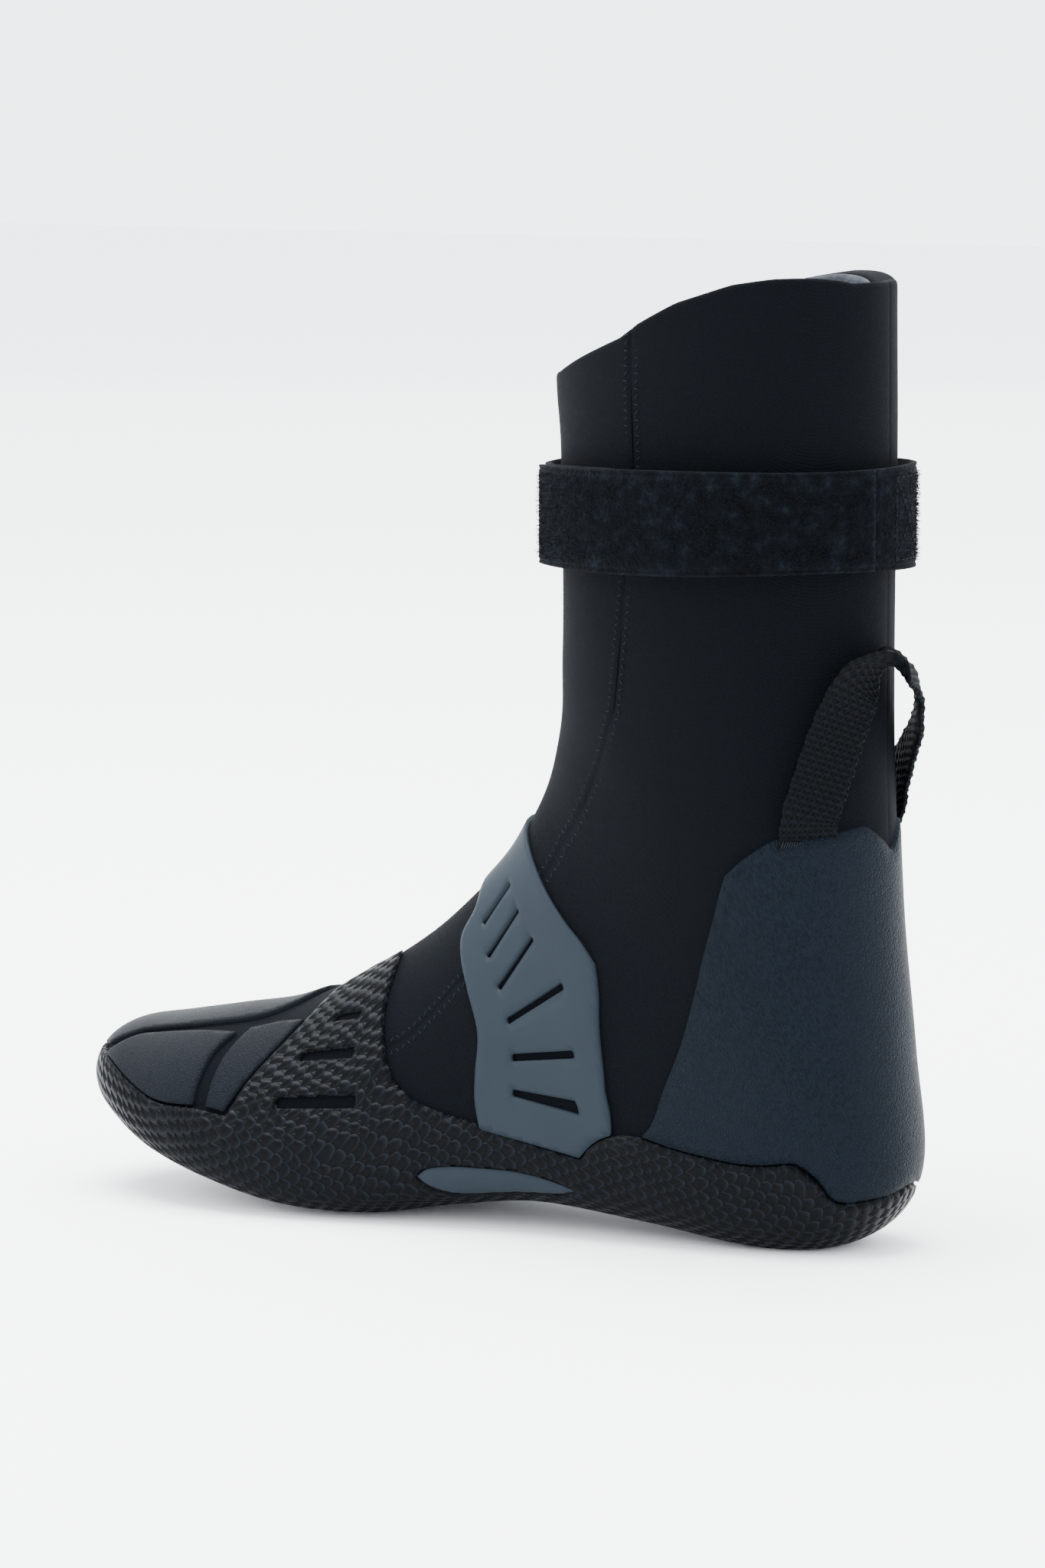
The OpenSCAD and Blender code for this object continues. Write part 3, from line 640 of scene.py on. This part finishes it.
def foam_panel(name, node, from_angle, to_angle, cols, start):
    """A panel between two seams, its edges dipping into the seams, with a cut edge at the collar."""
    section_mm = 11
    body = np.concatenate([np.arange(start, SHAFT_START, 0.1), np.arange(SHAFT_START, TOP - 0.1, 0.09)])
    t = np.concatenate([body, [TOP + d / section_mm for d, _ in EDGE]])
    extra = np.concatenate([np.zeros(len(body)), [e for _, e in EDGE]])
    f = np.linspace(0, 1, cols)
    f = 0.5 - 0.5 * np.cos(f * math.pi) * (0.7 + 0.3 * np.cos(f * math.pi) ** 2)
    f = (f - f[0]) / (f[-1] - f[0])
    a, b = from_angle(t)[:, None], to_angle(t)[:, None]
    th = a + (b - a) * f[None, :]
    width = np.abs(b - a) * 0.62
    dist = np.minimum(f, 1 - f)[None, :] * width
    d = FOAM_OUT + extra[:, None] + 0.2 * np.exp(-(dist / 0.6) ** 2)
    tt = t[:, None] + 0 * th
    waves = 0.25 * np.sin(tt * 2.1 + th * 0.03) * np.sin(th * 0.05 + 1) * np.clip((tt - 10) / 4, 0, 1)
    points = skin(tt, th, d - waves, 0)
    uv = lengths(tt, th)
    faces = grid_faces(len(t), cols)
    obj = new_mesh(name, points.reshape(-1, 3), faces, uv.reshape(-1, 2), JERSEY)
    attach(obj, "boot")
    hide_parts(node)


def foam():
    """The three foam panels of the upper."""
    foam_panel("front_foam", "front_panel", lambda t: 360 - seam(t), lambda t: 360 + seam(t), 90, 0.5)
    foam_panel("medial_foam", "medial_panel", seam, lambda t: 180 + 0 * t, 70, 4)
    foam_panel("lateral_foam", "lateral_panel", lambda t: 180 + 0 * t, lambda t: 360 - seam(t), 70, 4)


def lining():
    """The fleece that shows at the collar, and the footbed's top."""
    t = np.concatenate([np.arange(1, SHAFT_START, 0.25), np.arange(SHAFT_START, TOP, 0.15),
                        [TOP - 0.06, TOP, TOP, TOP - 0.08]])
    d = np.full(len(t), LINING_IN)
    d[-3:] = [LINING_IN - 0.35, LINING_IN - 1.3, LINING_IN - 1.9]
    th = np.arange(0, 360, 4.0)
    tt, hh = np.meshgrid(t, th, indexing="ij")
    points = skin(tt, hh, d[:, None] + 0 * tt, TREAD)
    obj = new_mesh("lining_fleece", points.reshape(-1, 3), grid_faces(len(t), len(th), True)[:, ::-1],
                   lengths(tt, hh).reshape(-1, 2), FLEECE)
    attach(obj, "boot")
    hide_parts("lining_sock")
    tt, hh = np.meshgrid(np.arange(1.2, 10.8, 0.2), np.linspace(130, 230, 30), indexing="ij")
    points = skin(tt, hh, LINING_IN + 2 * GAP + BED_THICK + 0 * tt, TREAD)
    bed = new_mesh("footbed_top", points.reshape(-1, 3), grid_faces(*tt.shape)[:, ::-1],
                   lengths(tt, hh).reshape(-1, 2), BED)
    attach(bed, "boot")
    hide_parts("footbed")


# ---------------------------------------------------------------- sewing
def stitches(name, places, along, across, length, thick, material):
    """Small rounded stitches: centres, directions and lengths in mm."""
    rows, cols = 5, 6
    lat = np.linspace(0, math.pi, rows)
    lon = np.arange(cols) * 2 * math.pi / cols
    a, b = np.meshgrid(lat, lon, indexing="ij")
    shape = np.stack([np.cos(a), np.sin(a) * np.cos(b), np.sin(a) * np.sin(b)], -1).reshape(-1, 3)
    quads = grid_faces(rows, cols, True)
    points, faces = [], []
    for n, (c, x, z) in enumerate(zip(places, along, across)):
        x = x / np.linalg.norm(x)
        z = z - x * (z @ x)
        z /= np.linalg.norm(z)
        y = np.cross(z, x)
        points.append(c + shape[:, :1] * x * length / 2 + shape[:, 1:2] * y * thick / 2
                      + shape[:, 2:3] * z * thick / 2)
        faces.append(quads + n * len(shape))
    return new_mesh(name, np.concatenate(points), np.concatenate(faces), None, material)


def normal_at(t, th):
    """The direction out of the boot at a point of its skin."""
    return skin(t, th, -1.0) - skin(t, th, 0.0)


def seam_threads():
    """Two zigzag rows of stitches on each side seam."""
    pitch, aside, slant, lying = 2.3, 2.2, 1.5, FOAM_OUT + 0.06
    for side, node in ((1, "seam_stitching_medial"), (-1, "seam_stitching_lateral")):
        t = np.linspace(6.75, 18.95, 900)
        th = seam(t) if side > 0 else 360 - seam(t)
        path = skin(t, th, FOAM_OUT)
        run = np.concatenate([[0], np.cumsum(np.linalg.norm(np.diff(path, axis=0), axis=1))])
        places, along, out = [], [], []
        for n, s in enumerate(np.arange(1, run[-1], pitch)):
            here_t, here_th = np.interp(s, run, t), np.interp(s, run, th)
            next_t, next_th = np.interp(s + 1, run, t), np.interp(s + 1, run, th)
            for row in (-1, 1):
                off = row * aside
                start = skin(here_t, here_th + off, lying)
                end = skin(next_t, next_th + off + slant * (1 if n % 2 else -1), lying)
                places.append(start)
                along.append(end - start)
                out.append(normal_at(here_t, here_th + off))
        obj = stitches("stitches_" + node, places, along, out, 1.7, 0.42, THREAD)
        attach(obj, "boot")
        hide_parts(node)


# ---------------------------------------------------------------- ankle strap
STRAP_X, STRAP_A, STRAP_B, STRAP_T, STRAP_W, STRAP_Z, LAP = 77.5, 57.5, 39.5, 1.8, 31.0, 223.5, 2.6
# Angles in plan: the free end's root, its bend and its tip, the seam between its two visual parts,
# and the end of the strap under it
ROOT, BEND, TIP, PART, BASE_END = -22.0, -100.0, -152.0, -60, 250


def strap_point(a, out):
    """A point in plan on the strap's oval, at angle a in degrees and a distance out."""
    a = np.radians(a)
    return np.stack([STRAP_X + (STRAP_A + out) * np.cos(a), (STRAP_B + out) * np.sin(a)], -1)


def strap_strip(name, angles, inner, material, width=STRAP_W, thick=STRAP_T, caps=(True, True)):
    """A strip round the ankle with rounded woven edges; inner gives how far out it lies."""
    ring = [(-1, 0.0), (-1, 0.6), (-0.99, 1.0), (-0.95, 1.0), (-0.93, 0.82), (-0.88, 1.0)]
    ring += [(h, 1.0) for h in np.linspace(-0.8, 0.8, 17)]
    ring += [(0.88, 1.0), (0.93, 0.82), (0.95, 1.0), (0.99, 1.0), (1, 0.6), (1, 0.0), (0.5, 0), (-0.5, 0)]
    ring = np.array(ring)
    angles = np.asarray(angles, float)
    out = inner(angles)[:, None] + ring[None, :, 1] * thick
    plan = strap_point(angles[:, None], out) - CENTRE[:2]
    level = STRAP_Z + ring[None, :, 0] * width / 2 + 0 * out + tilt(angles)[:, None]
    points = np.concatenate([plan, level[..., None]], -1)
    sag = 0.35 * np.sin(np.radians(angles) * 3.1 + 0.6)[:, None] * ring[None, :, 0]
    points[..., 2] += sag
    rows, cols = len(angles), len(ring)
    faces = grid_faces(rows, cols, True).tolist()
    if caps[0]:
        faces.append(list(range(cols))[::-1])
    if caps[1]:
        faces.append([(rows - 1) * cols + i for i in range(cols)])
    run = np.concatenate([[0], np.cumsum(np.linalg.norm(np.diff(points[:, 0], axis=0), axis=1))])
    uv = np.stack([run[:, None] + 0 * level, level], -1)
    return new_mesh(name, points.reshape(-1, 3), faces, uv.reshape(-1, 2), material)


def tilt(a):
    """How far the strap rises at angle a, so that it sits higher at the back."""
    return 1.0 * np.cos(np.radians(a))


def climb(a):
    """How far out the closed end lies at angle a, to lie on top of the strap."""
    return LAP * np.clip((ROOT - a) / 60, 0, 1)


def fuzz(name, angles, inner, count, material):
    """Short pile fibres on the strap's outer face."""
    half_fibre = 0.07
    a = rng.uniform(min(angles), max(angles), count)
    h = rng.uniform(-0.86, 0.86, count)
    plan = strap_point(a, inner(a) + STRAP_T) - CENTRE[:2]
    root = np.concatenate([plan, (STRAP_Z + h * STRAP_W / 2 + tilt(a))[:, None]], 1)
    out = np.stack([np.cos(np.radians(a)) / STRAP_A, np.sin(np.radians(a)) / STRAP_B, 0 * a], 1)
    out /= np.linalg.norm(out, axis=1, keepdims=True)
    lean = rng.normal(0, 0.55, (count, 3))
    knee = root + (out + lean) * rng.uniform(0.35, 0.75, (count, 1))
    tip = knee + rng.normal(0, 0.35, (count, 3))
    wide = np.cross(out, lean)
    wide /= np.linalg.norm(wide, axis=1, keepdims=True)
    wide = wide * half_fibre
    corners = [root - wide, root + wide, knee + wide, knee - wide, tip]
    faces = []
    for k in range(0, len(corners) * count, len(corners)):
        faces += [[k, k + 1, k + 2, k + 3], [k + 3, k + 2, k + 4]]
    return new_mesh(name, np.stack(corners, 1).reshape(-1, 3), faces, None, material)


def flush(a):
    """The strap's own line lies no further out at any angle."""
    return 0 * a


def ankle_strap():
    """The strap, its free end in two parts, their pile, the hook patch and the sewn box."""
    base = strap_strip("strap_wrap", np.arange(ROOT + 0.6, BASE_END + 0.5, 2), flush, PILE)
    pile = fuzz("strap_wrap_pile", (ROOT + 1, BASE_END - 1), flush, 14000, SHEEN_TUFTS)
    for o in (base, pile):
        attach(o, "boot")
    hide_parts("strap_base")
    free = strap_strip("strap_end", np.append(np.arange(ROOT + 0.55, PART, -2), PART), climb, PILE,
                       caps=(True, False))
    free_pile = fuzz("strap_end_pile", (PART, ROOT), climb, 3600, SHEEN_TUFTS)
    tip = strap_strip("strap_end_tip", np.concatenate([np.arange(PART, TIP, -2), [TIP]]), climb, PILE,
                      caps=(False, True))
    tip_pile = fuzz("strap_end_tip_pile", (TIP, PART), climb, 9500, SHEEN_TUFTS)
    for o in (free, free_pile):
        blend_flat(o)
    for o in (tip, tip_pile):
        blend_flat(o)
    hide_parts("strap_free_end")
    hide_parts("strap_tip")
    # The cut edge of the tip, pale, and the hook patch behind it
    edge = strap_strip("strap_cut_edge", np.array([TIP + 0.7, TIP - 0.25]), lambda a: climb(a) + 0.2,
                       CUT_EDGE, width=STRAP_W - 0.6, thick=STRAP_T - 0.4)
    patch = strap_strip("hook_patch_skin", np.arange(BEND - 19, TIP + 1, -2), lambda a: LAP - 0.55 + 0 * a,
                        HOOKS, width=STRAP_W - 5, thick=0.5)
    hooks = hook_dots()
    for o in (edge, patch, hooks):
        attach(o, "strap_tip_end")
    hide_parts("hook_patch")
    box_stitch()


def blend_flat(obj):
    """Bakes the object's placement into its mesh."""
    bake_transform(obj)


def hook_dots():
    """The rows of small hooks on the patch under the strap's tip."""
    a, h = np.meshgrid(np.arange(BEND - 20, TIP + 2, -1.5), np.linspace(-0.8, 0.8, 18))
    a, h = a.ravel(), h.ravel()
    places = np.concatenate([strap_point(a, LAP - 0.62 + 0 * a) - CENTRE[:2],
                             (STRAP_Z + h * STRAP_W / 2)[:, None]], 1)
    out = np.stack([np.cos(np.radians(a)), np.sin(np.radians(a)), 0 * a], 1)
    return stitches("hooks", places, out, np.tile([0, 0, 1.0], (len(places), 1)), 0.5, 0.3, HOOKS)


def on_strap(a, h):
    """A point just over the strap's face, at angle a and a share h of its half width."""
    plan = strap_point(a, STRAP_T + 0.15) - CENTRE[:2]
    return np.append(plan, STRAP_Z + h * STRAP_W / 2 + tilt(a))


def box_stitch():
    """A sewn box with a cross that holds the strap at the back."""
    mm_per_degree, pitch = 0.75, 2.3
    places, along = [], []
    lines = [((-10, -0.8), (10, -0.8)), ((-10, 0.8), (10, 0.8)), ((-10, -0.8), (-10, 0.8)),
             ((10, -0.8), (10, 0.8)), ((-10, -0.8), (10, 0.8)), ((-10, 0.8), (10, -0.8))]
    for p, q in lines:
        p, q = np.array(p), np.array(q)
        length = np.hypot((q[0] - p[0]) * mm_per_degree, (q[1] - p[1]) * STRAP_W / 2)
        for f in np.linspace(0.04, 0.96, max(3, int(length / pitch))):
            start = on_strap(*(p + (q - p) * f))
            end = on_strap(*(p + (q - p) * (f + 0.02)))
            places.append(start)
            along.append(end - start)
    across = np.tile([1.0, 0, 0], (len(places), 1))
    obj = stitches("strap_box_stitch", places, along, across, 1.9, 0.5, THREAD)
    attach(obj, "boot")
    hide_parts("strap_anchor_stitching")


# ---------------------------------------------------------------- pull loop
WEB_W, WEB_T, LOOP_STEP = 18.0, 1.6, 0.35
# Middle line of the loop in mm, and the angle in plan that the webbing's width points to
LOOP = np.array([[114.2, -24.9, 127.5, 39], [115.8, -26.0, 133, 39], [117.3, -27.6, 139.6, 39],
                 [119.4, -26.6, 147.5, 39], [121.8, -25.4, 156, 39], [124.5, -24, 165, 42],
                 [127.3, -22.6, 173, 48], [130.8, -20.2, 180.5, 60], [136.8, -12, 186, 92],
                 [140.2, -2, 179.5, 112], [138.2, 5.8, 170, 118], [134, 12.5, 162, 121],
                 [129.3, 17.5, 154.5, 128], [124.8, 21.4, 147, 134], [122.5, 22.8, 139.6, 138],
                 [120.8, 21.8, 133, 138], [119.8, 20.8, 129, 138]])


def loop_path():
    """Middle line from the inner to the outer root, with the directions along and across it."""
    n = len(LOOP)
    line = []
    for i in range(n - 1):
        for f in np.arange(0, 1, 0.05):
            line.append(spline(LOOP[max(i - 1, 0)], LOOP[i], LOOP[i + 1], LOOP[min(i + 2, n - 1)], f))
    line = np.array(line)
    run = np.concatenate([[0], np.cumsum(np.linalg.norm(np.diff(line[:, :3], axis=0), axis=1))])
    s = np.arange(0, run[-1], LOOP_STEP)
    mid = np.stack([np.interp(s, run, line[:, k]) for k in range(3)], -1)
    turn = np.radians(np.interp(s, run, line[:, 3]))
    across = np.stack([np.cos(turn), np.sin(turn), 0 * turn], -1)
    tangent = np.gradient(mid, axis=0)
    tangent /= np.linalg.norm(tangent, axis=1, keepdims=True)
    across -= tangent * (across * tangent).sum(1, keepdims=True)
    across /= np.linalg.norm(across, axis=1, keepdims=True)
    return s, mid, tangent, across


def pull_loop():
    """The webbing loop, woven in relief, and the bar tacks at its two ends."""
    s, mid, tangent, across = loop_path()
    out = np.cross(across, tangent)
    half_w, half_t = WEB_W / 2, WEB_T / 2
    xs = np.linspace(-1, 1, 34)
    ring = [(x * (half_w - 0.5), 1) for x in xs]
    ring += [(half_w - 0.15, 0.75), (half_w, 0), (half_w - 0.15, -0.75)]
    ring += [(x * (half_w - 0.5), -1) for x in xs[::-1]]
    ring += [(-half_w + 0.15, -0.75), (-half_w, 0), (-half_w + 0.15, 0.75)]
    ring = np.array(ring)
    x, face = ring[None, :, 0], ring[None, :, 1]
    pitch_s, pitch_x, relief = 1.9, 1.6, 0.30
    weave = np.sin(s[:, None] * math.pi / pitch_s + np.where((x / pitch_x) % 2 < 1, 0, math.pi))
    weave = weave * np.abs(np.sin(x * math.pi / pitch_x)) ** 0.5
    height = face * half_t + np.sign(face) * relief * weave * (np.abs(face) > 0.9)
    lumps = 1 + 0.02 * np.sin(s * 0.9)[:, None]
    points = mid[:, None] + across[:, None] * (x * lumps)[..., None] + out[:, None] * height[..., None]
    points = points - CENTRE
    rows, cols = points.shape[:2]
    uv = np.stack([s[:, None] + 0 * height, x + 0 * height], -1)
    faces = grid_faces(rows, cols, True).tolist()
    faces += [list(range(cols))[::-1], [(rows - 1) * cols + i for i in range(cols)]]
    obj = new_mesh("pull_loop_webbing", points.reshape(-1, 3), faces, uv.reshape(-1, 2), WEB)
    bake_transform(obj)
    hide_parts("pull_loop", "loop_anchor_medial", "loop_anchor_lateral")
    from_end = int(4.5 / LOOP_STEP)
    for i, node in ((from_end, "bar_tack_medial"), (rows - 1 - from_end, "bar_tack_lateral")):
        spots = np.arange(-7.8, 7.9, 0.75)
        places = [mid[i] + across[i] * spot + out[i] * (half_t + 0.25) - CENTRE for spot in spots]
        along = [tangent[i] + across[i] * 0.12] * len(spots)
        tack = stitches("threads_" + node, places, along, [out[i]] * len(spots), 3.0, 0.6, THREAD)
        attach(tack, "boot")
        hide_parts(node)


# ---------------------------------------------------------------- studio
def studio():
    """A wide white floor under a pale sky, with three soft lamps."""
    pale = shader("studio_white", (0.9, 0.9, 0.91), rough=0.9, specular=0.1)[0]
    far = 6000
    floor = new_mesh("floor", [[-far, -far, 0], [far, -far, 0], [far, far, 0], [-far, far, 0]],
                     [[0, 1, 2, 3]], None, pale)
    world = bpy.data.worlds.new("studio")
    bpy.context.scene.world = world
    world.use_nodes = True
    sky = world.node_tree.nodes["Background"]
    sky.inputs["Color"].default_value = (0.93, 0.97, 1.0, 1)
    sky.inputs["Strength"].default_value = 4.6
    for name, place, aim, size, power in (
            ("overhead", (-0.3, 0.1, 2.4), (0, 0, 0), 1.8, 230),
            ("wall", (-1.4, 3.2, 1.4), (0, 0, 0.2), 2.4, 20),
            ("key", (-1.3, -1.5, 1.3), (0, 0, 0.1), 0.8, 16)):
        lamp = bpy.data.lights.new(name, "AREA")
        lamp.energy = power
        lamp.size = size
        obj = bpy.data.objects.new(name, lamp)
        obj.location = place
        obj.rotation_euler = (Vector(aim) - Vector(place)).to_track_quat("-Z", "Y").to_euler()
        bpy.context.collection.objects.link(obj)


def camera():
    """A long lens 2 m away, on the heel's side of the inner face."""
    around, up, far, aside = math.radians(27), math.radians(7.5), 2.0, 0.0061
    target = Vector((-CENTRE[0], -CENTRE[1], 140 - CENTRE[2])) * MM
    toward = Vector((math.sin(around) * math.cos(up), -math.cos(around) * math.cos(up), math.sin(up)))
    place = target + toward * far
    aim = target + Vector((math.cos(around), math.sin(around), 0)) * aside
    data = bpy.data.cameras.new("photo_camera")
    data.lens = 147.3
    data.sensor_width = 36
    obj = bpy.data.objects.new("photo_camera", data)
    obj.location = place
    obj.rotation_euler = (aim - place).to_track_quat("-Z", "Y").to_euler()
    bpy.context.collection.objects.link(obj)
    bpy.context.scene.camera = obj


def hidden_nodes():
    """Plain materials for the CAD pieces that no visual piece replaces."""
    for node, material in (("seam_tape_medial", TAPE), ("seam_tape_lateral", TAPE),
                           ("seam_tape_back", TAPE), ("sole_panel", JERSEY)):
        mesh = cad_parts[node].data
        mesh.materials.clear()
        mesh.materials.append(material)


outsole()
toe_overlays()
heel()
band()
arch()
foam()
lining()
seam_threads()
ankle_strap()
pull_loop()
hidden_nodes()
studio()
camera()
bpy.context.view_layer.update()
